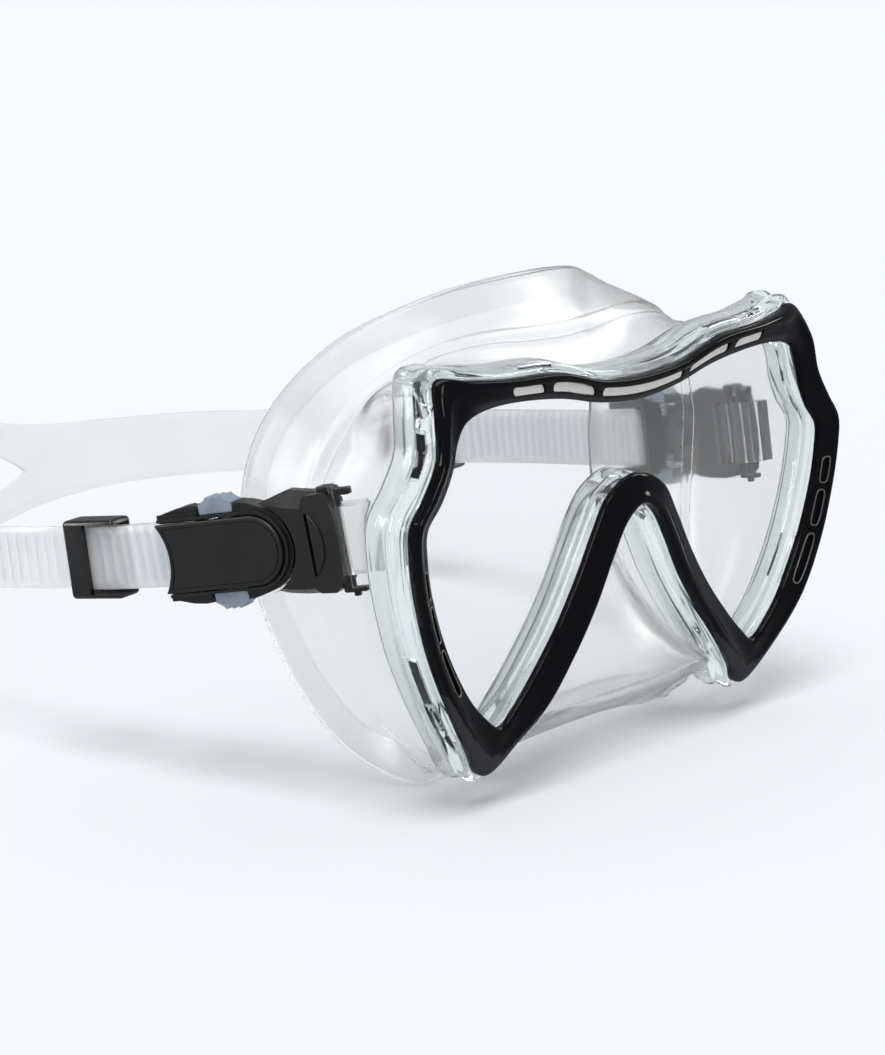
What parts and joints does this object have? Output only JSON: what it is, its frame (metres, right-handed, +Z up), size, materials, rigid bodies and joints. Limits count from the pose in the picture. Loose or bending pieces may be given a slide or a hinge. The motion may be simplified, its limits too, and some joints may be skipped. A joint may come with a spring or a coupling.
{
  "type": "diving mask",
  "caption": "Single-lens diving mask with a clear silicone skirt and nose pocket, black bezel, swivelling squeeze-release buckles and an adjustable split strap.",
  "frame": {"origin": "on the floor, under the middle of the object's box", "axes": "+Z up as the mask stands on its skirt and strap, -Y out through the lens, +X towards the wearer's left"},
  "size_m": [0.1852, 0.27, 0.1125],
  "materials": {
    "bezel_black": "glossy black moulding with matte bevels round the slots",
    "lens_glass": "clear polished tempered glass",
    "frame_clear": "clear polycarbonate, faintly green, moulded ribs and windows",
    "skirt_silicone": "clear, faintly milky silicone, satin",
    "strap_silicone": "clear, faintly milky silicone with fine cross ribs",
    "buckle_black": "fine-grained matte black",
    "button_grey": "matte blue-grey",
    "metal": "stainless steel, plain"
  },
  "bodies": {
    "mask": {"bezel": "bezel_black", "lens": "lens_glass", "lens_frame": "frame_clear", "skirt": "skirt_silicone", "yoke_left": "buckle_black", "yoke_bar_left": "buckle_black", "swivel_pin_left": "metal", "yoke_right": "buckle_black", "yoke_bar_right": "buckle_black", "swivel_pin_right": "metal"},
    "strap_assembly": {"strap": "strap_silicone", "buckle_body_left": "buckle_black", "buckle_cover_left": "buckle_black", "button_spring_upper_left": "metal", "button_spring_lower_left": "metal", "buckle_body_right": "buckle_black", "buckle_cover_right": "buckle_black", "button_spring_upper_right": "metal", "button_spring_lower_right": "metal"},
    "upper_button_left": {"button_upper_left": "button_grey"},
    "lower_button_left": {"button_lower_left": "button_grey"},
    "pawl_left": {"strap_pawl_left": "buckle_black"},
    "roller_left": {"strap_roller_left": "buckle_black"},
    "keeper_left": {"strap_keeper_left": "buckle_black"},
    "upper_button_right": {"button_upper_right": "button_grey"},
    "lower_button_right": {"button_lower_right": "button_grey"},
    "pawl_right": {"strap_pawl_right": "buckle_black"},
    "roller_right": {"strap_roller_right": "buckle_black"},
    "keeper_right": {"strap_keeper_right": "buckle_black"}
  },
  "joints": [
    {"name": "strap_tilt", "type": "hinge", "parent": "mask", "child": "strap_assembly", "pos_m": [-0.00116, -0.0875, 0.0593], "axis": [1, 0, 0], "range_deg": [-12, 15]},
    {"name": "upper_button_left_press", "type": "slide", "parent": "strap_assembly", "child": "upper_button_left", "axis": [-0.0503, -0.2017, -0.9781], "range_m": [0, 0.0012], "stiffness_N_per_m": 300, "springref_m": -0.001, "deforming": ["button_spring_upper_left"]},
    {"name": "lower_button_left_press", "type": "slide", "parent": "strap_assembly", "child": "lower_button_left", "axis": [0.0503, 0.2017, 0.9781], "range_m": [0, 0.0012], "stiffness_N_per_m": 300, "springref_m": -0.001, "deforming": ["button_spring_lower_left"]},
    {"name": "pawl_left_lift", "type": "slide", "parent": "strap_assembly", "child": "pawl_left", "axis": [0.9703, -0.2419, 0], "range_m": [0, 0.0004]},
    {"name": "roller_left_spin", "type": "hinge", "parent": "strap_assembly", "child": "roller_left", "pos_m": [0.0795, -0.07232, 0.05608], "axis": [0.0503, 0.2017, 0.9781], "continuous": true},
    {"name": "keeper_left_slide", "type": "slide", "parent": "strap_assembly", "child": "keeper_left", "axis": [-0.1388, 0.9815, -0.132], "range_m": [-0.005, 0.005]},
    {"name": "upper_button_right_press", "type": "slide", "parent": "strap_assembly", "child": "upper_button_right", "axis": [0.0503, -0.2017, -0.9781], "range_m": [0, 0.0012], "stiffness_N_per_m": 300, "springref_m": -0.001, "deforming": ["button_spring_upper_right"]},
    {"name": "lower_button_right_press", "type": "slide", "parent": "strap_assembly", "child": "lower_button_right", "axis": [-0.0503, 0.2017, 0.9781], "range_m": [0, 0.0012], "stiffness_N_per_m": 300, "springref_m": -0.001, "deforming": ["button_spring_lower_right"]},
    {"name": "pawl_right_lift", "type": "slide", "parent": "strap_assembly", "child": "pawl_right", "axis": [-0.9703, -0.2419, 0], "range_m": [0, 0.0004]},
    {"name": "roller_right_spin", "type": "hinge", "parent": "strap_assembly", "child": "roller_right", "pos_m": [-0.08182, -0.07232, 0.05608], "axis": [-0.0503, 0.2017, 0.9781], "continuous": true},
    {"name": "keeper_right_slide", "type": "slide", "parent": "strap_assembly", "child": "keeper_right", "axis": [-0.1428, 0.9776, -0.1548], "range_m": [-0.002, 0.01]}
  ],
  "couplings": [
    {"joint": "lower_button_left_press", "follows": "upper_button_left_press", "ratio": 1},
    {"joint": "pawl_left_lift", "follows": "upper_button_left_press", "ratio": 0.333},
    {"joint": "lower_button_right_press", "follows": "upper_button_right_press", "ratio": 1},
    {"joint": "pawl_right_lift", "follows": "upper_button_right_press", "ratio": 0.333}
  ]
}
